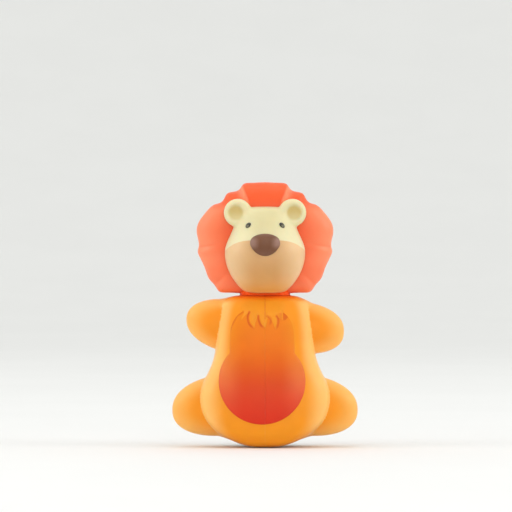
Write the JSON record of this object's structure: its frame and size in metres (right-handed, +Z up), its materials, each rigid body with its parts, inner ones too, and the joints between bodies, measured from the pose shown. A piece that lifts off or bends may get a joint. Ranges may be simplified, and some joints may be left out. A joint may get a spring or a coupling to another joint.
{
  "type": "toothbrush cover",
  "caption": "Sitting lion toothbrush cover held to a wall by a suction cup; its two hinged body shells close round a toothbrush head pushed between them",
  "frame": {"origin": "middle of the suction cup's flat lip, on the wall plane", "axes": "+X the viewer's right, +Y into the wall, +Z up"},
  "size_m": [0.0742, 0.0497, 0.1058],
  "materials": {
    "orange_plastic": "satin, slightly translucent, with a red belly",
    "salmon_plastic": "satin, slightly translucent",
    "cream_plastic": "satin, tan muzzle",
    "brown_plastic": "semi-gloss",
    "eye_plastic": "gloss",
    "white_plastic": "satin",
    "cup_vinyl": "clear, soft",
    "steel": "plain"
  },
  "bodies": {
    "frame": {"back_frame": "white_plastic", "suction_cup": "cup_vinyl", "left_hinge_pin": "steel", "right_hinge_pin": "steel", "head_screw": "steel", "mane": "salmon_plastic", "head_back": "salmon_plastic", "face": "cream_plastic", "nose": "brown_plastic", "left_eye": "eye_plastic", "right_eye": "eye_plastic"},
    "left_door": {"left_liner": "white_plastic", "left_shell": "orange_plastic", "left_shell_screws": "steel"},
    "right_door": {"right_liner": "white_plastic", "right_shell": "orange_plastic", "right_shell_screws": "steel"}
  },
  "joints": [
    {"name": "right_hinge", "type": "hinge", "parent": "frame", "child": "right_door", "pos_m": [0.009, -0.016, 0], "axis": [0, 0, 1], "range_deg": [0, 45]},
    {"name": "left_hinge", "type": "hinge", "parent": "frame", "child": "left_door", "pos_m": [-0.009, -0.016, 0], "axis": [0, 0, 1], "range_deg": [-45, 0]}
  ],
  "couplings": [
    {"joint": "left_hinge", "follows": "right_hinge", "ratio": -1}
  ]
}
